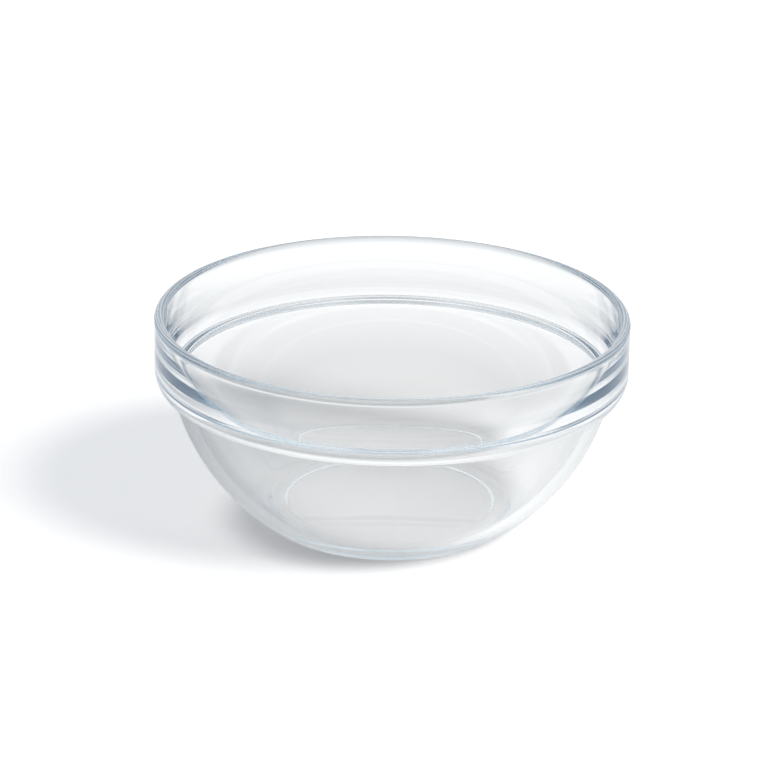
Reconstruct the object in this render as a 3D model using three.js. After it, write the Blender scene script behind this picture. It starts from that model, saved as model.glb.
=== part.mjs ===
// Stackable glass bowl: one piece of clear pressed glass, turned from a single half-section.
// Millimetres, +Z up. The origin is the centre of the foot, on the surface that the bowl stands on.

import * as THREE from 'three';

// Overall sizes
const RIM_DIAMETER = 200;
const BOWL_HEIGHT = 90;
const BASE_DIAMETER = 105; // where the round body would meet the table without its rounded edge

// Collar: the upright band between the rim and the stacking shoulder
const COLLAR_HEIGHT = 29.5; // from the shoulder's flat underside up to the rim
const COLLAR_WALL = 4.5; // the lip is a full round of this thickness
const WAIST_RECESS = 0.12; // how far the outside is drawn in under the lip
const WAIST_RADIUS = 3; // hollow curve under the lip
const COLLAR_SWEEP_RADIUS = 9; // curve that draws the outside in towards the shoulder
const COLLAR_CURVE_RADIUS = 66; // large hollow curve that narrows the inside from the lip to the ledge

// Stacking shoulder: the step in the outside that stands on the rim of the bowl below
const STACKING_CLEARANCE = 2.5; // between the body and the inside of the rim it drops into
const SHOULDER_THICKNESS = 4.2; // from the underside up to the ledge
const SHOULDER_INSET = 3.2; // from the outside of the collar in to where the flat underside ends
const SHOULDER_EDGE_RADIUS = 1;
const SHOULDER_ROOT_RADIUS = 1.5;

// Ledge: the step on the inside, over the shoulder
const LEDGE_ROOT_RADIUS = 1.5;
const LEDGE_CORNER_RADIUS = 1.2;

// Body and floor
const BODY_WALL = 5;
const FLOOR_THICKNESS = 5.5; // over the recess in the foot
const FLOOR_BLEND_RADIUS = 20;

// Foot: a flat ring around a shallow recess
const FOOT_EDGE_RADIUS = 1.5;
const FOOT_RING_WIDTH = 6;
const RECESS_DEPTH = 1;
const RECESS_FLANK_RADIUS = 1.5;

// Fineness of the turned surface
const TURN_SEGMENTS = 72;
const CHORD_ERROR = 0.1; // how far a straight step may lie from its arc

// Colour of the glass
const GLASS_COLOUR = 0xdde8ea;
const GLASS_ROUGHNESS = 0.05;
const GLASS_OPACITY = 0.4;

// Half-section points have x as the radius and y as the height
const point = (radius, height) => new THREE.Vector2(radius, height);

// Points along the shorter arc about a centre, from one point to another
function arc(centre, from, to) {
  const start = from.clone().sub(centre);
  const end = to.clone().sub(centre);
  const radius = start.length();
  const turn = Math.atan2(start.cross(end), start.dot(end));
  const step = 2 * Math.acos(1 - CHORD_ERROR / Math.max(radius, CHORD_ERROR));
  const count = Math.max(2, Math.ceil(Math.abs(turn) / step));
  const points = [];
  for (let i = 0; i <= count; i += 1) {
    const around = start.clone().rotateAround(point(0, 0), (turn * i) / count);
    points.push(around.add(centre));
  }
  return points;
}

// A rounded corner between a level surface and a round one. The rounding lies above (1) or below (-1)
// the level, and outside (1) or inside (-1) the round surface. onLevel and onRound are where it ends.
function rounding(level, upOrDown, round, outOrIn, radius) {
  const height = level + upOrDown * radius;
  const reach = round.radius + outOrIn * radius;
  const across = Math.sqrt(reach ** 2 - (height - round.centre.y) ** 2);
  const centre = point(round.centre.x + across, height);
  const outward = centre.clone().sub(round.centre).setLength(round.radius);
  return {
    centre,
    onLevel: point(centre.x, level),
    onRound: outward.add(round.centre),
  };
}

// The body is a ball centred on the axis: it passes through the base circle and meets the shoulder
// at a radius that drops into another bowl's rim.
const rimRadius = RIM_DIAMETER / 2;
const baseRadius = BASE_DIAMETER / 2;
const rimInnerRadius = rimRadius - COLLAR_WALL;
const shoulderHeight = BOWL_HEIGHT - COLLAR_HEIGHT;
const ledgeHeight = shoulderHeight + SHOULDER_THICKNESS;
const floorHeight = RECESS_DEPTH + FLOOR_THICKNESS;
const bodyTopRadius = rimInnerRadius - STACKING_CLEARANCE;
const bodyCentreHeight = (bodyTopRadius ** 2 - baseRadius ** 2 + shoulderHeight ** 2) / (2 * shoulderHeight);
const outerBall = { centre: point(0, bodyCentreHeight), radius: Math.hypot(baseRadius, bodyCentreHeight) };
const innerBall = { centre: outerBall.centre, radius: outerBall.radius - BODY_WALL };

// Underside: a shallow recess, an S-shaped flank of two equal arcs, and the flat foot ring
function undersideOutline(footEdge) {
  const ringInner = footEdge.onLevel.x - FOOT_RING_WIDTH;
  const flankRadius = Math.max(RECESS_FLANK_RADIUS, RECESS_DEPTH / 2);
  const flankTurn = Math.acos(1 - RECESS_DEPTH / (2 * flankRadius));
  const halfFlank = flankRadius * Math.sin(flankTurn);
  const recessRim = point(ringInner - 2 * halfFlank, RECESS_DEPTH);
  const flankMiddle = point(ringInner - halfFlank, RECESS_DEPTH / 2);
  const ringRim = point(ringInner, 0);
  return [
    point(0, RECESS_DEPTH),
    ...arc(point(recessRim.x, RECESS_DEPTH - flankRadius), recessRim, flankMiddle),
    ...arc(point(ringRim.x, flankRadius), flankMiddle, ringRim),
  ];
}

// Round body from the foot up to the shoulder, then out along the shoulder's flat underside
function bodyOutline(footEdge) {
  const root = rounding(shoulderHeight, -1, outerBall, 1, SHOULDER_ROOT_RADIUS);
  return [
    ...arc(footEdge.centre, footEdge.onLevel, footEdge.onRound),
    ...arc(outerBall.centre, footEdge.onRound, root.onRound),
    ...arc(root.centre, root.onRound, root.onLevel),
  ];
}

// Outside of the collar: above the shoulder's rounded edge, which is what bears on the rim of the
// bowl below, the wall sweeps out and rises to the waist, a slight hollow under the lip. The sweep
// is no larger than the wall below the waist has room for.
function collarOutline(lipCentre) {
  const wallRadius = rimRadius - WAIST_RECESS;
  const lipRadius = COLLAR_WALL / 2;
  const waistX = wallRadius + WAIST_RADIUS;
  const waistDrop = Math.sqrt((lipRadius + WAIST_RADIUS) ** 2 - (waistX - lipCentre.x) ** 2);
  const waistCentre = point(waistX, lipCentre.y - waistDrop);
  const lipStart = waistCentre.clone().sub(lipCentre).setLength(lipRadius).add(lipCentre);

  const edgeRadius = Math.min(SHOULDER_EDGE_RADIUS, SHOULDER_INSET);
  const edgeCentre = point(wallRadius - SHOULDER_INSET, shoulderHeight + edgeRadius);
  const sweepWidth = SHOULDER_INSET - edgeRadius;
  const wallRise = waistCentre.y - edgeCentre.y;
  const widestSweep = edgeRadius + (wallRise ** 2 + sweepWidth ** 2) / (2 * sweepWidth);
  const sweepRadius = Math.min(COLLAR_SWEEP_RADIUS, widestSweep);
  const sweepRise = Math.sqrt(sweepWidth * (2 * (sweepRadius - edgeRadius) - sweepWidth));
  const sweepCentre = point(wallRadius - sweepRadius, edgeCentre.y + sweepRise);
  const edgeEnd = edgeCentre.clone().sub(sweepCentre).setLength(sweepRadius).add(sweepCentre);
  return [
    ...arc(edgeCentre, point(edgeCentre.x, shoulderHeight), edgeEnd),
    ...arc(sweepCentre, edgeEnd, point(wallRadius, sweepCentre.y)),
    ...arc(waistCentre, point(wallRadius, waistCentre.y), lipStart),
    ...arc(lipCentre, lipStart, point(lipCentre.x, BOWL_HEIGHT)),
    ...arc(lipCentre, point(lipCentre.x, BOWL_HEIGHT), point(rimInnerRadius, lipCentre.y)),
  ];
}

// Inside of the bowl, from the lip down the hollow collar, over the ledge and along the round wall to
// the flat floor. The collar's curve is large enough to reach down to the ledge, and the ledge's root
// is no larger than the ledge has room for.
function insideOutline(lipCentre) {
  const curveStart = point(rimInnerRadius, lipCentre.y);
  const curveHeight = curveStart.y - ledgeHeight;
  const curveRadius = Math.max(COLLAR_CURVE_RADIUS, curveHeight);
  const curveCentre = point(curveStart.x - curveRadius, curveStart.y);
  const corner = rounding(ledgeHeight, -1, innerBall, 1, LEDGE_CORNER_RADIUS);
  const ledgeOuter = curveCentre.x + Math.sqrt(curveRadius ** 2 - curveHeight ** 2);
  const rootRadius = Math.min(LEDGE_ROOT_RADIUS, ledgeOuter - corner.onLevel.x);
  const rootTurn = Math.asin((curveHeight - rootRadius) / (curveRadius - rootRadius));
  const towardsRoot = point(Math.cos(rootTurn), -Math.sin(rootTurn));
  const curveEnd = towardsRoot.clone().multiplyScalar(curveRadius).add(curveCentre);
  const rootCentre = towardsRoot.clone().multiplyScalar(curveRadius - rootRadius).add(curveCentre);
  const floorBlend = rounding(floorHeight, 1, innerBall, -1, FLOOR_BLEND_RADIUS);
  return [
    ...arc(curveCentre, curveStart, curveEnd),
    ...arc(rootCentre, curveEnd, point(rootCentre.x, ledgeHeight)),
    ...arc(corner.centre, corner.onLevel, corner.onRound),
    ...arc(innerBall.centre, corner.onRound, floorBlend.onRound),
    ...arc(floorBlend.centre, floorBlend.onRound, floorBlend.onLevel),
    point(0, floorHeight),
  ];
}

// The whole half-section, from the axis underneath, up the outside and back down the inside
function bowlOutline() {
  const footEdge = rounding(0, 1, outerBall, -1, FOOT_EDGE_RADIUS);
  const lipCentre = point(rimRadius - COLLAR_WALL / 2, BOWL_HEIGHT - COLLAR_WALL / 2);
  return [
    ...undersideOutline(footEdge),
    ...bodyOutline(footEdge),
    ...collarOutline(lipCentre),
    ...insideOutline(lipCentre),
  ];
}

// Two arcs that follow each other share a point, which is kept once
function withoutRepeats(points) {
  const nearest = 1e-6;
  return points.filter((p, i) => i === 0 || p.distanceTo(points[i - 1]) > nearest);
}

function makeBowl() {
  const geometry = new THREE.LatheGeometry(withoutRepeats(bowlOutline()), TURN_SEGMENTS);
  const glass = new THREE.MeshStandardMaterial({
    color: GLASS_COLOUR,
    roughness: GLASS_ROUGHNESS,
    metalness: 0,
    transparent: true,
    opacity: GLASS_OPACITY,
  });
  const bowl = new THREE.Mesh(geometry, glass);
  bowl.name = 'bowl';
  bowl.rotation.x = Math.PI / 2; // the section turns about +Y, and the bowl stands along +Z
  return bowl;
}

const stackableBowl = new THREE.Group();
stackableBowl.name = 'stackable_glass_bowl';
stackableBowl.add(makeBowl());

export default stackableBowl;
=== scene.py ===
"""Stackable glass bowl on a plain studio stage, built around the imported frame.

Lengths are metres, +Z is up, and the origin is the centre of the foot.
"""

import math

import bpy
from bpy.props import FloatProperty, FloatVectorProperty, IntProperty, PointerProperty
from mathutils import Matrix, Quaternion, Vector


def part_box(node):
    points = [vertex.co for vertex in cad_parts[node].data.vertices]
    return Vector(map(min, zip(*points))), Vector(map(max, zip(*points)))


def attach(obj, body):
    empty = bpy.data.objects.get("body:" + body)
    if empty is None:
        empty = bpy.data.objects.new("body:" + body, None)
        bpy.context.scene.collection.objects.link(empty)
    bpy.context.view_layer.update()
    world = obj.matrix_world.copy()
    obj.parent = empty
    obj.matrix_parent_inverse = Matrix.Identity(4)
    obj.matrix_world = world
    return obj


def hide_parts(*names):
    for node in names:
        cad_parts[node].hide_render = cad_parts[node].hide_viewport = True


bl_info = {
    "name": "Stackable Glass Bowl",
    "version": (1, 0, 0),
    "blender": (4, 5, 0),
    "location": "View3D > Sidebar > Glass Bowl",
    "description": "Makes a stackable bowl of clear pressed glass and a plain studio stage",
    "category": "Add Mesh",
}

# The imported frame, from which defaults come
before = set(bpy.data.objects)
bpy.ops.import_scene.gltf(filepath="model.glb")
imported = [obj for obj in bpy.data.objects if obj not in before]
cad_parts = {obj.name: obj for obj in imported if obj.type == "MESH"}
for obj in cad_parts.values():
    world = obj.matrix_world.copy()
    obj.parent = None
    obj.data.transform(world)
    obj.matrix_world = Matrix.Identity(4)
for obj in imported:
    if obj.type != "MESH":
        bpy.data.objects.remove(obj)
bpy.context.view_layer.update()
CAD_LOW, CAD_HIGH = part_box("bowl")

# Fineness of the turned mesh
CHORD_ERROR = 0.000004  # how far a straight step may lie from its arc
FLAT_STEP = 0.004  # longest step on a flat stretch
MERGE_DISTANCE = 0.000001  # closes the seam and the two poles

# Noise in the glass
WAVE_SEED = 4.0
WAVE_DETAIL = 1.0
NOISE_MIDDLE = 0.5  # the noise swings about this value
HAZE_START = 0.5  # value of the noise above which a patch is hazed
HAZE_FULL = 0.8  # value at which its haze is full

# Camera and light
IMAGE_SIDE = 776  # pixels
SENSOR_WIDTH = 36.0  # millimetres
CLIP_SHARE = 4  # how far the camera sees, in floor radii
LIGHT_BOUNCES = 100  # light runs round inside the thick collar, and a low limit would leave it black

WHITE = (1.0, 1.0, 1.0)
BLACK = (0.0, 0.0, 0.0)
NODE_SPACING = 200  # between the nodes of a tree, as an editor shows them


def length(name, default, description):
    """A length in metres, as a property."""
    return FloatProperty(
        name=name,
        description=description,
        default=default,
        min=0.0,
        subtype="DISTANCE",
        unit="LENGTH",
        precision=5,
    )


def angle(name, degrees, description):
    """An angle, as a property that Blender shows in degrees."""
    return FloatProperty(
        name=name,
        description=description,
        default=math.radians(degrees),
        subtype="ANGLE",
        unit="ROTATION",
    )


def colour(name, default, description):
    """A colour, as a property."""
    return FloatVectorProperty(
        name=name, description=description, default=default, size=3, min=0.0, max=1.0, subtype="COLOR"
    )


def amount(name, default, description, high=1000.0):
    """A plain number that isn't negative, as a property."""
    return FloatProperty(
        name=name, description=description, default=default, min=0.0, max=high, precision=4
    )


def pixels(name, default, description):
    """A distance in the image, as a property."""
    return FloatProperty(name=name, description=description, default=default)


class BowlSizes(bpy.types.PropertyGroup):
    """Sizes of the glass."""

    rim_diameter: length("Rim diameter", CAD_HIGH.x - CAD_LOW.x, "Outside of the rim, from the frame")
    height: length("Height", CAD_HIGH.z - CAD_LOW.z, "From the table to the rim, from the frame")
    base_diameter: length("Base diameter", 0.105, "Where the round body would meet the table")
    collar_height: length("Collar height", 0.0295, "From the stacking shoulder up to the rim")
    collar_wall: length("Collar wall", 0.0045, "Thickness of the lip, which is a full round")
    waist_recess: length("Waist recess", 0.00012, "How far the outside is drawn in under the lip")
    waist_radius: length("Waist radius", 0.003, "Hollow curve under the lip")
    sweep_radius: length("Sweep radius", 0.009, "Curve that draws the collar in to the shoulder")
    collar_curve_radius: length("Collar curve radius", 0.066, "Hollow curve from the lip in to the ledge")
    stacking_clearance: length("Stacking clearance", 0.0025, "Between the body and the rim below it")
    shoulder_thickness: length("Shoulder thickness", 0.0042, "From its underside up to the ledge")
    shoulder_inset: length("Shoulder inset", 0.0032, "From the collar's outside in to the flat shoulder")
    shoulder_edge_radius: length("Shoulder edge radius", 0.001, "Outer edge of the stacking shoulder")
    shoulder_root_radius: length("Shoulder root radius", 0.0015, "Corner between body and shoulder")
    ledge_root_radius: length("Ledge root radius", 0.0015, "Hollow corner between ledge and collar")
    ledge_corner_radius: length("Ledge corner radius", 0.0012, "Edge between the ledge and the body")
    body_wall: length("Body wall", 0.005, "Thickness of the round body")
    floor_thickness: length("Floor thickness", 0.0055, "Glass over the recess in the foot")
    floor_blend_radius: length("Floor blend radius", 0.02, "Curve between the floor and the inside wall")
    foot_edge_radius: length("Foot edge radius", 0.0015, "Outer edge of the foot")
    foot_ring_width: length("Foot ring width", 0.006, "Flat ring that the bowl stands on")
    recess_depth: length("Recess depth", 0.001, "How far the underside lies above the table")
    recess_flank_radius: length("Recess flank radius", 0.0015, "Curves from the recess to the foot ring")
    steps_around: IntProperty(
        name="Steps around", description="Faces around the bowl", default=384, min=24, max=400
    )


class GlassFinish(bpy.types.PropertyGroup):
    """Finish of the glass."""

    tint: colour("Tint", (0.99, 0.992, 0.99), "Colour of thin glass")
    # Painted shade: the glass colour is darkened where the surface is seen edge-on, to draw dark outlines
    edge_painted_shade: colour("Edge painted shade", (0.3, 0.33, 0.36), "Painted shade on the glass where it is seen edge-on")
    edge_power: amount("Edge power", 4.0, "How narrow that painted edge shade stays", 20.0)
    # Painted shade: the lip is greyed to draw a dark line along the rim
    lip_painted_shade: colour("Lip painted shade", (0.68, 0.72, 0.75), "Painted shade that greys the lip")
    lip_depth: length("Lip depth", 0.0035, "How far down from the rim that painted shade fades out")
    depth_colour: colour("Depth colour", (0.74, 0.85, 0.92), "Colour of long ways through the glass")
    depth_density: amount("Depth density", 6.0, "How soon the depth colour shows, per metre")
    shadow_tint: colour("Shadow tint", (0.46, 0.465, 0.48), "Light that a surface lets into the shadow")
    refraction: amount("Refraction", 1.52, "Index of refraction of the glass", 3.0)
    roughness: amount("Roughness", 0.002, "Roughness of the fire-polished surface", 1.0)
    haze_roughness: amount("Haze roughness", 0.02, "Roughness that handling adds in patches", 1.0)
    haze_size: length("Haze size", 0.035, "Width of one such patch")
    worn_roughness: amount("Worn roughness", 0.12, "Roughness of the scuffed foot ring", 1.0)
    worn_height: length("Worn height", 0.0003, "How far up the scuffs reach")
    wave_height: length("Wave height", 0.00002, "Height of the slow waves left by pressing")
    wave_size: length("Wave size", 0.03, "Width of one such wave")


class StageSettings(bpy.types.PropertyGroup):
    """Camera, floor and light, and what the glass shows of the floor and the room."""

    camera_distance: length("Camera distance", 2.0, "From the middle of the bowl")
    camera_elevation: angle("Camera elevation", 21.6, "How far the camera looks down")
    camera_roll: angle("Camera roll", 0.9, "Turn of the camera about its line of sight")
    focal_length: FloatProperty(
        name="Focal length", description="Lens of the camera", default=219.5, min=1.0, unit="CAMERA"
    )
    aim_across: pixels("Aim across", 3.3, "Aim left of the bowl's middle, in pixels")
    aim_up: pixels("Aim up", 25.3, "Aim above the bowl's middle, in pixels")

    floor_radius: length("Floor radius", 5.0, "Half the floor's width")
    floor_gap: length("Floor gap", 0.00005, "Air between the foot ring and the floor")
    floor_colour: colour("Floor colour", (0.9, 0.9, 0.9), "Pale matt floor")
    floor_glow: amount("Floor glow", 0.3, "Lifts the lit floor to white where the camera sees it")
    foot_shade_left: length("Foot shade left", 0.014, "From the axis towards -X to the foot shade's middle")
    foot_shade_front: length("Foot shade front", 0.006, "From the axis towards -Y to that middle")
    foot_shade_core: length("Foot shade core", 0.042, "Floor around that middle that isn't lifted at all")
    foot_shade_edge: length("Foot shade edge", 0.066, "Floor from which on it is fully lifted")
    glass_glow: amount("Glass glow", 0.12, "Lifts it where it is seen in the glass")
    passed_glow: amount("Passed glow", 0.2, "Light that the bowl lets through to the floor under it")
    passed_radius: length("Passed radius", 0.15, "Floor that this light reaches")
    rear_shade: amount("Rear shade", 0.33, "How much darker the floor behind the bowl is in the glass", 1.0)
    rear_shade_place: length("Rear shade place", 0.1, "From the bowl's axis back to that shade's middle")
    rear_shade_radius: length("Rear shade radius", 0.2, "How far the shade reaches from there")
    near_radius: length("Near radius", 0.7, "Floor around the bowl that the glass shows as it is")
    far_radius: length("Far radius", 1.6, "Floor from which on the glass shows the room instead")

    key_colour: colour("Key colour", (1.0, 0.985, 0.96), "Colour of the main light")
    key_strength: amount("Key strength", 2.8, "Strength of the main light")
    key_elevation: angle("Key elevation", 44.0, "Height of the main light")
    key_azimuth: angle("Key azimuth", -28.0, "Turn of the main light from +X towards +Y")
    key_width: angle("Key width", 30.0, "Apparent width of the main light, which softens the shadow")
    room_colour: colour("Room colour", (0.41, 0.43, 0.455), "Even light from the room")

    low_colour: colour("Low colour", (0.07, 0.12, 0.19), "Room low down, as the glass shows it")
    low_height: amount("Low height", 0.45, "Sine of the elevation up to which that colour shows", 1.0)
    bright_height: amount("Bright height", 0.65, "Sine of the elevation from which on it is white", 1.0)
    ceiling_colour: colour("Ceiling colour", (0.1, 0.11, 0.13), "Dark patch overhead, in the glass")
    ceiling_tilt: angle("Ceiling tilt", 8.0, "How far behind the zenith the patch has its middle")
    ceiling_edge: angle("Ceiling edge", 12.0, "From its middle to its edge")
    ceiling_core: angle("Ceiling core", 8.0, "From its middle to where it starts to fade")
    backdrop_side: amount("Backdrop side", 0.35, "Cosine of the turn from +Y where the backdrop ends", 1.0)
    backdrop_middle: amount("Backdrop middle", 0.85, "Cosine of the turn where it is fully white", 1.0)


# The half-section: x is the radius and y the height


def arc(centre, start, end):
    """Points along the shorter arc about a centre, from one point to another."""
    first = start - centre
    last = end - centre
    turn = math.atan2(first.cross(last), first.dot(last))
    step = 2 * math.acos(1 - CHORD_ERROR / max(first.length, CHORD_ERROR))
    count = max(2, math.ceil(abs(turn) / step))
    return [centre + Matrix.Rotation(turn * i / count, 2) @ first for i in range(count + 1)]


def straight(start, end):
    """Points along a flat stretch."""
    count = max(1, math.ceil((end - start).length / FLAT_STEP))
    return [start.lerp(end, i / count) for i in range(count + 1)]


def rounding(level, up_or_down, ball_height, ball_radius, out_or_in, radius):
    """Rounded corner between a level surface and a ball on the axis.

    It lies above (1) or below (-1) the level, and outside (1) or inside (-1) the ball. Gives its
    centre and the points where it meets the level and the ball.
    """
    height = level + up_or_down * radius
    reach = ball_radius + out_or_in * radius
    centre = Vector((math.sqrt(reach**2 - (height - ball_height) ** 2), height))
    ball_centre = Vector((0.0, ball_height))
    on_ball = ball_centre + (centre - ball_centre).normalized() * ball_radius
    return centre, Vector((centre.x, level)), on_ball


def underside(s, ring_outer):
    """Shallow recess, its S-shaped flank and the flat foot ring."""
    ring_inner = ring_outer - Vector((s.foot_ring_width, 0.0))
    flank_radius = max(s.recess_flank_radius, s.recess_depth / 2)
    half_flank = flank_radius * math.sin(math.acos(1 - s.recess_depth / (2 * flank_radius)))
    recess_rim = Vector((ring_inner.x - 2 * half_flank, s.recess_depth))
    middle = Vector((ring_inner.x - half_flank, s.recess_depth / 2))
    return [
        *straight(Vector((0.0, s.recess_depth)), recess_rim),
        *arc(recess_rim - Vector((0.0, flank_radius)), recess_rim, middle),
        *arc(ring_inner + Vector((0.0, flank_radius)), middle, ring_inner),
        *straight(ring_inner, ring_outer),
    ]


def collar_outside(s, shoulder_height, shoulder_start):
    """Flat stacking shoulder, its edge, the sweep up to the waist, and the rounded lip."""
    lip_radius = s.collar_wall / 2
    lip_centre = Vector((s.rim_diameter / 2 - lip_radius, s.height - lip_radius))
    wall = s.rim_diameter / 2 - s.waist_recess
    waist_x = wall + s.waist_radius
    waist_drop = math.sqrt((lip_radius + s.waist_radius) ** 2 - (waist_x - lip_centre.x) ** 2)
    waist_centre = Vector((waist_x, lip_centre.y - waist_drop))
    lip_start = lip_centre + (waist_centre - lip_centre).normalized() * lip_radius

    edge_radius = s.shoulder_edge_radius
    edge_centre = Vector((wall - s.shoulder_inset, shoulder_height + edge_radius))
    sweep_width = s.shoulder_inset - edge_radius
    wall_rise = waist_centre.y - edge_centre.y
    widest_sweep = edge_radius + (wall_rise**2 + sweep_width**2) / (2 * sweep_width)
    sweep_radius = min(s.sweep_radius, widest_sweep)
    sweep_rise = math.sqrt(sweep_width * (2 * (sweep_radius - edge_radius) - sweep_width))
    sweep_centre = Vector((wall - sweep_radius, edge_centre.y + sweep_rise))
    sweep_start = sweep_centre + (edge_centre - sweep_centre).normalized() * sweep_radius
    sweep_end = Vector((wall, sweep_centre.y))
    waist_start = Vector((wall, waist_centre.y))
    edge_start = Vector((edge_centre.x, shoulder_height))
    crown = Vector((lip_centre.x, s.height))
    return [
        *straight(shoulder_start, edge_start),
        *arc(edge_centre, edge_start, sweep_start),
        *arc(sweep_centre, sweep_start, sweep_end),
        *straight(sweep_end, waist_start),
        *arc(waist_centre, waist_start, lip_start),
        *arc(lip_centre, lip_start, crown),
        *arc(lip_centre, crown, lip_centre - Vector((lip_radius, 0.0))),
    ]


def inside(s, ledge_height, floor_height, ball_height, ball_radius):
    """From the lip down the collar, over the ledge and along the round wall to the floor's middle."""
    lip_end = Vector((s.rim_diameter / 2 - s.collar_wall, s.height - s.collar_wall / 2))
    corner_centre, corner_level, corner_ball = rounding(
        ledge_height, -1, ball_height, ball_radius, 1, s.ledge_corner_radius
    )
    curve_centre = lip_end - Vector((s.collar_curve_radius, 0.0))
    curve_height = lip_end.y - ledge_height
    ledge_outer = curve_centre.x + math.sqrt(s.collar_curve_radius**2 - curve_height**2)
    root_radius = min(s.ledge_root_radius, ledge_outer - corner_level.x)
    root_turn = math.asin((curve_height - root_radius) / (s.collar_curve_radius - root_radius))
    towards_root = Vector((math.cos(root_turn), -math.sin(root_turn)))
    curve_end = curve_centre + s.collar_curve_radius * towards_root
    root_centre = curve_centre + (s.collar_curve_radius - root_radius) * towards_root
    root_end = Vector((root_centre.x, ledge_height))
    ball_centre = Vector((0.0, ball_height))
    blend_centre, blend_level, blend_ball = rounding(
        floor_height, 1, ball_height, ball_radius, -1, s.floor_blend_radius
    )
    return [
        *arc(curve_centre, lip_end, curve_end),
        *arc(root_centre, curve_end, root_end),
        *straight(root_end, corner_level),
        *arc(corner_centre, corner_level, corner_ball),
        *arc(ball_centre, corner_ball, blend_ball),
        *arc(blend_centre, blend_ball, blend_level),
        *straight(blend_level, Vector((0.0, floor_height))),
    ]


def bowl_section(s):
    """The whole half-section, from the axis underneath, up the outside and back down the inside."""
    shoulder_height = s.height - s.collar_height
    ledge_height = shoulder_height + s.shoulder_thickness
    floor_height = s.recess_depth + s.floor_thickness
    body_top = s.rim_diameter / 2 - s.collar_wall - s.stacking_clearance
    base = s.base_diameter / 2
    ball_height = (body_top**2 - base**2 + shoulder_height**2) / (2 * shoulder_height)
    ball_radius = math.hypot(base, ball_height)
    foot_centre, foot_level, foot_ball = rounding(
        0.0, 1, ball_height, ball_radius, -1, s.foot_edge_radius
    )
    root_centre, root_level, root_ball = rounding(
        shoulder_height, -1, ball_height, ball_radius, 1, s.shoulder_root_radius
    )
    points = [
        *underside(s, foot_level),
        *arc(foot_centre, foot_level, foot_ball),
        *arc(Vector((0.0, ball_height)), foot_ball, root_ball),
        *arc(root_centre, root_ball, root_level),
        *collar_outside(s, shoulder_height, root_level),
        *inside(s, ledge_height, floor_height, ball_height, ball_radius - s.body_wall),
    ]
    kept = points[:1]
    for point in points[1:]:
        if (point - kept[-1]).length > MERGE_DISTANCE:
            kept.append(point)
    return kept


# Node trees


def add_node(tree, kind, column, row, **settings):
    """A new node at a place in the tree, with its settings."""
    node = tree.nodes.new(kind)
    node.location = (column * NODE_SPACING, row * -NODE_SPACING)
    for setting, value in settings.items():
        setattr(node, setting, value)
    return node


def feed(tree, socket, value):
    """Gives a socket its value: another node's output, a colour or a number."""
    if isinstance(value, bpy.types.NodeSocket):
        tree.links.new(value, socket)
    elif socket.type == "RGBA":
        socket.default_value = (*value, 1.0)
    else:
        socket.default_value = value


def math_node(tree, operation, column, row, first, second=0.0):
    """A Math node's output."""
    node = add_node(tree, "ShaderNodeMath", column, row, operation=operation)
    feed(tree, node.inputs[0], first)
    feed(tree, node.inputs[1], second)
    return node.outputs["Value"]


def mix_node(tree, column, row, share, first, second, data_type="RGBA", blend_type="MIX"):
    """A Mix node's output."""
    node = add_node(tree, "ShaderNodeMix", column, row, data_type=data_type, blend_type=blend_type)
    feed(tree, node.inputs["Factor"], share)
    feed(tree, node.inputs["A"], first)
    feed(tree, node.inputs["B"], second)
    return node.outputs["Result"]


def range_node(tree, column, row, value, start, end, low=0.0, high=1.0, curve="SMOOTHSTEP"):
    """A Map Range node's output: low where the value is at the start, high where it is at the end."""
    node = add_node(tree, "ShaderNodeMapRange", column, row, interpolation_type=curve)
    feed(tree, node.inputs["Value"], value)
    feed(tree, node.inputs["From Min"], start)
    feed(tree, node.inputs["From Max"], end)
    feed(tree, node.inputs["To Min"], low)
    feed(tree, node.inputs["To Max"], high)
    return node.outputs["Result"]


def distance_node(tree, column, row, place, centre):
    """A Vector Math node's output: how far a place lies from a centre."""
    node = add_node(tree, "ShaderNodeVectorMath", column, row, operation="DISTANCE")
    feed(tree, node.inputs[0], place)
    feed(tree, node.inputs[1], centre)
    return node.outputs["Value"]


def turned_by_glass(tree, path, column, row):
    """One for rays that gloss or glass has turned, and else nought."""
    glossy = path.outputs["Is Glossy Ray"]
    return math_node(tree, "MAXIMUM", column, row, glossy, path.outputs["Is Transmission Ray"])


# The bowl


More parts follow.
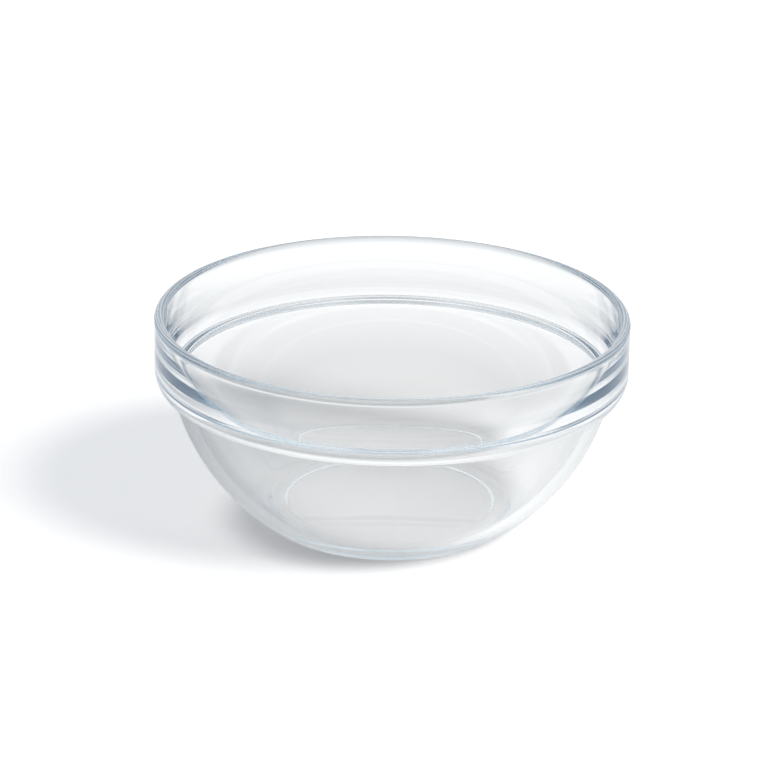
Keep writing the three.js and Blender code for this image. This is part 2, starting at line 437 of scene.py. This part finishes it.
def turned_section(tree, given):
    """Lays a grid along the half-section and around Z, and closes its seam and poles."""
    link = tree.links.new
    section = given.outputs["Section"]
    steps = given.outputs["Steps Around"]
    count = add_node(tree, "GeometryNodeAttributeDomainSize", 1, 1, component="MESH")
    link(section, count.inputs["Geometry"])
    points = count.outputs["Point Count"]
    grid = add_node(tree, "GeometryNodeMeshGrid", 2, 0)
    link(math_node(tree, "ADD", 1, 0, steps, 1.0), grid.inputs["Vertices X"])
    link(points, grid.inputs["Vertices Y"])

    index = add_node(tree, "GeometryNodeInputIndex", 1, 2).outputs["Index"]
    along = math_node(tree, "MODULO", 2, 2, index, points)
    around = math_node(tree, "FLOOR", 3, 3, math_node(tree, "DIVIDE", 2, 3, index, points))
    share = math_node(tree, "DIVIDE", 4, 3, around, steps)
    turn = math_node(tree, "MULTIPLY", 5, 3, share, math.tau)
    place = add_node(tree, "GeometryNodeInputPosition", 2, 4).outputs["Position"]
    sample = add_node(tree, "GeometryNodeSampleIndex", 3, 2, data_type="FLOAT_VECTOR", domain="POINT")
    link(section, sample.inputs["Geometry"])
    link(place, sample.inputs["Value"])
    link(along, sample.inputs["Index"])
    rotate = add_node(tree, "ShaderNodeVectorRotate", 6, 2, rotation_type="Z_AXIS")
    link(sample.outputs["Value"], rotate.inputs["Vector"])
    link(turn, rotate.inputs["Angle"])
    lathe = add_node(tree, "GeometryNodeSetPosition", 7, 0)
    link(grid.outputs["Mesh"], lathe.inputs["Geometry"])
    link(rotate.outputs["Vector"], lathe.inputs["Position"])
    merge = add_node(tree, "GeometryNodeMergeByDistance", 8, 0)
    merge.inputs["Distance"].default_value = MERGE_DISTANCE
    link(lathe.outputs["Geometry"], merge.inputs["Geometry"])
    return merge.outputs["Geometry"]


def waved(tree, given, geometry):
    """Lays slow waves on the glass, none of them on the flat foot."""
    link = tree.links.new
    place = add_node(tree, "GeometryNodeInputPosition", 7, 4).outputs["Position"]
    noise = add_node(tree, "ShaderNodeTexNoise", 8, 3, noise_dimensions="4D")
    noise.inputs["Detail"].default_value = WAVE_DETAIL
    link(place, noise.inputs["Vector"])
    link(given.outputs["Seed"], noise.inputs["W"])
    link(math_node(tree, "DIVIDE", 7, 3, 1.0, given.outputs["Wave Size"]), noise.inputs["Scale"])
    swing = math_node(tree, "SUBTRACT", 9, 3, noise.outputs["Fac"], NOISE_MIDDLE)
    swing = math_node(tree, "MULTIPLY", 10, 3, swing, given.outputs["Wave Height"])
    split = add_node(tree, "ShaderNodeSeparateXYZ", 8, 4)
    link(place, split.inputs["Vector"])
    above = range_node(tree, 9, 4, split.outputs["Z"], 0.0, given.outputs["Still Height"])
    swing = math_node(tree, "MULTIPLY", 11, 3, swing, above)
    normal = add_node(tree, "GeometryNodeInputNormal", 11, 4)
    offset = add_node(tree, "ShaderNodeVectorMath", 12, 3, operation="SCALE")
    link(normal.outputs["Normal"], offset.inputs["Vector"])
    link(swing, offset.inputs["Scale"])
    wave = add_node(tree, "GeometryNodeSetPosition", 13, 0)
    link(geometry, wave.inputs["Geometry"])
    link(offset.outputs["Vector"], wave.inputs["Offset"])
    return wave.outputs["Geometry"]


def turning_tree():
    """Geometry Nodes that turn a half-section about Z and lay slow waves on the glass."""
    tree = bpy.data.node_groups.new("Turned Glass", "GeometryNodeTree")
    face = tree.interface
    face.new_socket("Section", in_out="INPUT", socket_type="NodeSocketGeometry")
    steps = face.new_socket("Steps Around", in_out="INPUT", socket_type="NodeSocketInt")
    steps.min_value = 3
    wave_height = face.new_socket("Wave Height", in_out="INPUT", socket_type="NodeSocketFloat")
    wave_height.subtype = "DISTANCE"
    wave_size = face.new_socket("Wave Size", in_out="INPUT", socket_type="NodeSocketFloat")
    wave_size.subtype = "DISTANCE"
    still_height = face.new_socket("Still Height", in_out="INPUT", socket_type="NodeSocketFloat")
    still_height.subtype = "DISTANCE"
    face.new_socket("Seed", in_out="INPUT", socket_type="NodeSocketFloat")
    face.new_socket("Glass", in_out="INPUT", socket_type="NodeSocketMaterial")
    face.new_socket("Bowl", in_out="OUTPUT", socket_type="NodeSocketGeometry")
    link = tree.links.new
    given = add_node(tree, "NodeGroupInput", 0, 0)
    smooth = add_node(tree, "GeometryNodeSetShadeSmooth", 14, 0)
    link(waved(tree, given, turned_section(tree, given)), smooth.inputs["Geometry"])
    realize = add_node(tree, "GeometryNodeRealizeInstances", 15, 0)
    link(smooth.outputs["Geometry"], realize.inputs["Geometry"])
    material = add_node(tree, "GeometryNodeSetMaterial", 16, 0)
    link(realize.outputs["Geometry"], material.inputs["Geometry"])
    link(given.outputs["Glass"], material.inputs["Material"])
    result = add_node(tree, "NodeGroupOutput", 17, 0)
    link(material.outputs["Geometry"], result.inputs["Bowl"])
    return tree


def set_inputs(modifier, values):
    """Sets a Geometry Nodes modifier's inputs, found by name and set by identifier."""
    for item in modifier.node_group.interface.items_tree:
        if item.item_type == "SOCKET" and item.in_out == "INPUT" and item.name in values:
            modifier[item.identifier] = values[item.name]


def glass_colour(tree, finish, height, rim_height):
    """Nearly white glass, with painted shade where it is seen edge-on and at the lip."""
    # Painted shade: darker glass colour where the surface is seen edge-on
    facing = add_node(tree, "ShaderNodeLayerWeight", 2, 0).outputs["Facing"]
    edge_on = math_node(tree, "POWER", 3, 0, facing, finish.edge_power)
    tint = mix_node(tree, 4, 0, edge_on, finish.tint, finish.edge_painted_shade)
    # Painted shade that greys the glass towards the rim
    lip = range_node(tree, 4, 1, height, rim_height - finish.lip_depth, rim_height)
    return mix_node(tree, 5, 0, lip, tint, finish.lip_painted_shade, blend_type="MULTIPLY")


def glass_roughness(tree, finish, place, height):
    """Fire-polished glass with patches of haze, and scuffs on the foot ring."""
    patches = add_node(tree, "ShaderNodeTexNoise", 2, 2)
    patches.inputs["Scale"].default_value = 1 / finish.haze_size
    tree.links.new(place, patches.inputs["Vector"])
    cloud = patches.outputs["Fac"]
    polished = finish.roughness
    haze = range_node(
        tree, 3, 2, cloud, HAZE_START, HAZE_FULL, polished, finish.haze_roughness, curve="LINEAR"
    )
    foot = range_node(tree, 3, 3, height, finish.worn_height, 0.0, curve="LINEAR")
    return mix_node(tree, 4, 2, foot, haze, finish.worn_roughness, data_type="FLOAT")


def clear_glass(finish, rim_height):
    """Clear pressed glass that lets lamps through, with its colour in depth."""
    material = bpy.data.materials.new("Clear Glass")
    material.use_nodes = True
    tree = material.node_tree
    tree.nodes.clear()
    link = tree.links.new
    place = add_node(tree, "ShaderNodeTexCoord", 0, 2).outputs["Object"]
    split = add_node(tree, "ShaderNodeSeparateXYZ", 1, 3)
    link(place, split.inputs["Vector"])
    height = split.outputs["Z"]
    glass = add_node(tree, "ShaderNodeBsdfPrincipled", 6, 0)
    glass.inputs["IOR"].default_value = finish.refraction
    glass.inputs["Transmission Weight"].default_value = 1.0
    link(glass_colour(tree, finish, height, rim_height), glass.inputs["Base Color"])
    link(glass_roughness(tree, finish, place, height), glass.inputs["Roughness"])
    depth = add_node(tree, "ShaderNodeVolumeAbsorption", 7, 4)
    feed(tree, depth.inputs["Color"], finish.depth_colour)
    depth.inputs["Density"].default_value = finish.depth_density

    path = add_node(tree, "ShaderNodeLightPath", 6, -2)
    through = add_node(tree, "ShaderNodeBsdfTransparent", 6, -1)
    feed(tree, through.inputs["Color"], finish.shadow_tint)
    surface = add_node(tree, "ShaderNodeMixShader", 7, 0)
    link(path.outputs["Is Shadow Ray"], surface.inputs["Fac"])
    link(glass.outputs["BSDF"], surface.inputs[1])
    link(through.outputs["BSDF"], surface.inputs[2])
    out = add_node(tree, "ShaderNodeOutputMaterial", 8, 0)
    link(surface.outputs["Shader"], out.inputs["Surface"])
    link(depth.outputs["Volume"], out.inputs["Volume"])
    return material


class GLASSBOWL_OT_bowl(bpy.types.Operator):
    """Make the bowl from its half-section and put it in place of the CAD node"""

    bl_idname = "glassbowl.bowl"
    bl_label = "Make Bowl"

    def execute(self, context):
        sizes = context.scene.bowl_sizes
        finish = context.scene.glass_finish
        section = bowl_section(sizes)
        mesh = bpy.data.meshes.new("bowl_section")
        corners = [(point.x, 0.0, point.y) for point in section]
        mesh.from_pydata(corners, [(i, i + 1) for i in range(len(corners) - 1)], [])
        pattern = bpy.data.objects.new("bowl_section", mesh)
        context.scene.collection.objects.link(pattern)
        turning = pattern.modifiers.new("Turned Glass", "NODES")
        turning.node_group = turning_tree()
        set_inputs(
            turning,
            {
                "Steps Around": sizes.steps_around,
                "Wave Height": finish.wave_height,
                "Wave Size": finish.wave_size,
                "Still Height": sizes.recess_depth,
                "Seed": WAVE_SEED,
                "Glass": clear_glass(finish, sizes.height),
            },
        )
        graph = context.evaluated_depsgraph_get()
        turned = bpy.data.meshes.new_from_object(pattern.evaluated_get(graph), depsgraph=graph)
        pattern.modifiers.remove(turning)
        bpy.data.objects.remove(pattern)
        bpy.data.meshes.remove(mesh)
        if not turned.polygons:
            raise RuntimeError("the section turned into an empty mesh")
        turned.name = "glass_bowl"
        bowl = bpy.data.objects.new("glass_bowl", turned)
        context.scene.collection.objects.link(bowl)
        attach(bowl, "root")
        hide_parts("bowl")
        return {"FINISHED"}


# The stage


def room_view_group(settings):
    """Shader group: what the glass shows of the room in a direction.

    The room is dark low down and white above, with a dark patch overhead and a white backdrop
    towards +Y.
    """
    tree = bpy.data.node_groups.new("Room View", "ShaderNodeTree")
    tree.interface.new_socket("Direction", in_out="INPUT", socket_type="NodeSocketVector")
    tree.interface.new_socket("Color", in_out="OUTPUT", socket_type="NodeSocketColor")
    link = tree.links.new
    given = add_node(tree, "NodeGroupInput", 0, 0)
    unit = add_node(tree, "ShaderNodeVectorMath", 1, 0, operation="NORMALIZE")
    link(given.outputs["Direction"], unit.inputs[0])
    split = add_node(tree, "ShaderNodeSeparateXYZ", 2, 0)
    link(unit.outputs["Vector"], split.inputs["Vector"])
    bright = range_node(
        tree, 3, 0, split.outputs["Z"], settings.low_height, settings.bright_height, curve="LINEAR"
    )
    room = mix_node(tree, 4, 0, bright, settings.low_colour, WHITE)
    tilt = settings.ceiling_tilt
    above = add_node(tree, "ShaderNodeVectorMath", 2, 1, operation="DOT_PRODUCT")
    link(unit.outputs["Vector"], above.inputs[0])
    above.inputs[1].default_value = (0.0, math.sin(tilt), math.cos(tilt))
    edge = math.cos(settings.ceiling_edge)
    patch = range_node(tree, 3, 1, above.outputs["Value"], edge, math.cos(settings.ceiling_core))
    room = mix_node(tree, 5, 0, patch, room, settings.ceiling_colour)
    side = settings.backdrop_side
    backdrop = range_node(tree, 3, 2, split.outputs["Y"], side, settings.backdrop_middle)
    room = mix_node(tree, 6, 0, backdrop, room, WHITE)
    result = add_node(tree, "NodeGroupOutput", 7, 0)
    link(room, result.inputs["Color"])
    return tree


def pale_floor(settings, room_view):
    """Matt floor that looks white where it is lit.

    The camera sees it darker at the foot. The glass shows it darker behind the bowl, and far out
    it shows the room instead.
    """
    material = bpy.data.materials.new("Pale Floor")
    material.use_nodes = True
    tree = material.node_tree
    tree.nodes.clear()
    link = tree.links.new
    path = add_node(tree, "ShaderNodeLightPath", 0, 1)
    in_glass = turned_by_glass(tree, path, 1, 1)
    place = add_node(tree, "ShaderNodeTexCoord", 0, 3).outputs["Object"]
    from_axis = distance_node(tree, 1, 3, place, (0.0, 0.0, 0.0))

    behind = distance_node(tree, 1, 5, place, (0.0, settings.rear_shade_place, 0.0))
    shade = range_node(tree, 2, 5, behind, 0.0, settings.rear_shade_radius, settings.rear_shade, 0.0)
    shaded = math_node(tree, "MULTIPLY", 3, 5, in_glass, shade)
    matt = add_node(tree, "ShaderNodeBsdfDiffuse", 5, 0)
    link(mix_node(tree, 4, 0, shaded, settings.floor_colour, BLACK), matt.inputs["Color"])

    shade_middle = (-settings.foot_shade_left, -settings.foot_shade_front, 0.0)
    at_foot = distance_node(tree, 1, 6, place, shade_middle)
    core = settings.foot_shade_core
    lift = range_node(tree, 2, 6, at_foot, core, settings.foot_shade_edge, 0.0, settings.floor_glow)
    seen = math_node(tree, "MULTIPLY", 3, 6, path.outputs["Is Camera Ray"], lift)
    outer_glow = settings.glass_glow
    middle_glow = outer_glow + settings.passed_glow
    passed = range_node(tree, 2, 4, from_axis, 0.0, settings.passed_radius, middle_glow, outer_glow)
    seen_in_glass = math_node(tree, "MULTIPLY", 3, 1, in_glass, passed)
    glow = add_node(tree, "ShaderNodeEmission", 5, 1)
    link(math_node(tree, "ADD", 4, 1, seen, seen_in_glass), glow.inputs["Strength"])
    near = add_node(tree, "ShaderNodeAddShader", 6, 0)
    link(matt.outputs["BSDF"], near.inputs[0])
    link(glow.outputs["Emission"], near.inputs[1])

    fade = range_node(tree, 2, 3, from_axis, settings.near_radius, settings.far_radius)
    room = add_node(tree, "ShaderNodeGroup", 5, 2, node_tree=room_view)
    link(place, room.inputs["Direction"])
    far = add_node(tree, "ShaderNodeEmission", 6, 2)
    link(room.outputs["Color"], far.inputs["Color"])
    surface = add_node(tree, "ShaderNodeMixShader", 7, 0)
    link(math_node(tree, "MULTIPLY", 3, 3, in_glass, fade), surface.inputs["Fac"])
    link(near.outputs["Shader"], surface.inputs[1])
    link(far.outputs["Emission"], surface.inputs[2])
    out = add_node(tree, "ShaderNodeOutputMaterial", 8, 0)
    link(surface.outputs["Shader"], out.inputs["Surface"])
    return material


def stage_floor(settings, room_view):
    """Wide floor just under the foot ring, which keeps the bowl's shadow."""
    half = settings.floor_radius
    level = -settings.floor_gap
    mesh = bpy.data.meshes.new("floor")
    corners = [(-half, -half, level), (half, -half, level), (half, half, level), (-half, half, level)]
    mesh.from_pydata(corners, [], [(0, 1, 2, 3)])
    mesh.materials.append(pale_floor(settings, room_view))
    floor = bpy.data.objects.new("floor", mesh)
    bpy.context.scene.collection.objects.link(floor)


def stage_world(settings, room_view):
    """Even room light; the camera sees white, and the glass shows the room."""
    world = bpy.data.worlds.new("Studio")
    world.use_nodes = True
    tree = world.node_tree
    tree.nodes.clear()
    link = tree.links.new
    path = add_node(tree, "ShaderNodeLightPath", 0, 0)
    from_camera = path.outputs["Is Camera Ray"]
    place = add_node(tree, "ShaderNodeTexCoord", 0, 2)
    room = add_node(tree, "ShaderNodeGroup", 1, 2, node_tree=room_view)
    link(place.outputs["Generated"], room.inputs["Direction"])
    shown = mix_node(tree, 2, 2, from_camera, room.outputs["Color"], WHITE)
    looked_at = math_node(tree, "MAXIMUM", 2, 0, turned_by_glass(tree, path, 1, 0), from_camera)
    background = add_node(tree, "ShaderNodeBackground", 4, 0)
    link(mix_node(tree, 3, 0, looked_at, settings.room_colour, shown), background.inputs["Color"])
    out = add_node(tree, "ShaderNodeOutputWorld", 5, 0)
    link(background.outputs["Background"], out.inputs["Surface"])
    bpy.context.scene.world = world


def stage_key(settings):
    """The main light, large and soft, from the right and the front.

    Gloss and glass don't show it, because its disc would be a hard-edged blot on the bowl.
    """
    lamp = bpy.data.lights.new("key_light", "SUN")
    lamp.color = settings.key_colour
    lamp.energy = settings.key_strength
    lamp.angle = settings.key_width
    key = bpy.data.objects.new("key_light", lamp)
    level = math.cos(settings.key_elevation)
    towards = Vector(
        (
            level * math.cos(settings.key_azimuth),
            level * math.sin(settings.key_azimuth),
            math.sin(settings.key_elevation),
        )
    )
    key.rotation_euler = towards.to_track_quat("Z", "Y").to_euler()
    key.visible_glossy = False
    key.visible_transmission = False
    bpy.context.scene.collection.objects.link(key)


def stage_camera(settings, middle_height):
    """The camera, aimed so that the bowl lies where the photograph has it."""
    lens = bpy.data.cameras.new("camera")
    lens.sensor_width = SENSOR_WIDTH
    lens.lens = settings.focal_length
    lens.clip_end = CLIP_SHARE * settings.floor_radius
    camera = bpy.data.objects.new("camera", lens)
    elevation = settings.camera_elevation
    middle = Vector((0.0, 0.0, middle_height))
    away = Vector((0.0, -math.cos(elevation), math.sin(elevation)))
    up = Vector((0.0, math.sin(elevation), math.cos(elevation)))
    right = Vector((1.0, 0.0, 0.0))
    pixel = settings.camera_distance * SENSOR_WIDTH / (settings.focal_length * IMAGE_SIDE)
    aim = middle + pixel * (settings.aim_up * up - settings.aim_across * right)
    camera.location = middle + settings.camera_distance * away
    facing = (aim - camera.location).to_track_quat("-Z", "Y")
    roll = Quaternion((0.0, 0.0, 1.0), settings.camera_roll)
    camera.rotation_euler = (facing @ roll).to_euler()
    bpy.context.scene.collection.objects.link(camera)
    bpy.context.scene.camera = camera


class GLASSBOWL_OT_stage(bpy.types.Operator):
    """Make the pale floor, the soft studio light and the camera"""

    bl_idname = "glassbowl.stage"
    bl_label = "Make Stage"

    def execute(self, context):
        settings = context.scene.stage_settings
        room_view = room_view_group(settings)
        stage_floor(settings, room_view)
        stage_world(settings, room_view)
        stage_key(settings)
        stage_camera(settings, context.scene.bowl_sizes.height / 2)
        context.scene.view_settings.view_transform = "Standard"
        light_paths = context.scene.cycles
        light_paths.max_bounces = LIGHT_BOUNCES
        light_paths.glossy_bounces = LIGHT_BOUNCES
        light_paths.transmission_bounces = LIGHT_BOUNCES
        return {"FINISHED"}


class GLASSBOWL_PT_panel(bpy.types.Panel):
    """Lists the bowl's sizes, its finish and the stage"""

    bl_idname = "GLASSBOWL_PT_panel"
    bl_label = "Stackable Glass Bowl"
    bl_space_type = "VIEW_3D"
    bl_region_type = "UI"
    bl_category = "Glass Bowl"

    def draw(self, context):
        scene = context.scene
        for title, group, operator in (
            ("Bowl", scene.bowl_sizes, GLASSBOWL_OT_bowl),
            ("Glass", scene.glass_finish, None),
            ("Stage", scene.stage_settings, GLASSBOWL_OT_stage),
        ):
            box = self.layout.box()
            box.label(text=title)
            for name in group.__annotations__:
                box.prop(group, name)
            if operator:
                box.operator(operator.bl_idname)


CLASSES = (
    BowlSizes,
    GlassFinish,
    StageSettings,
    GLASSBOWL_OT_bowl,
    GLASSBOWL_OT_stage,
    GLASSBOWL_PT_panel,
)


def register():
    """Makes the classes and the scene's three groups of settings known to Blender."""
    for cls in CLASSES:
        bpy.utils.register_class(cls)
    bpy.types.Scene.bowl_sizes = PointerProperty(type=BowlSizes)
    bpy.types.Scene.glass_finish = PointerProperty(type=GlassFinish)
    bpy.types.Scene.stage_settings = PointerProperty(type=StageSettings)


def unregister():
    """Takes them away again."""
    del bpy.types.Scene.stage_settings
    del bpy.types.Scene.glass_finish
    del bpy.types.Scene.bowl_sizes
    for cls in reversed(CLASSES):
        bpy.utils.unregister_class(cls)


def main():
    register()
    bpy.ops.glassbowl.bowl()
    bpy.ops.glassbowl.stage()


if __name__ == "__main__":
    main()
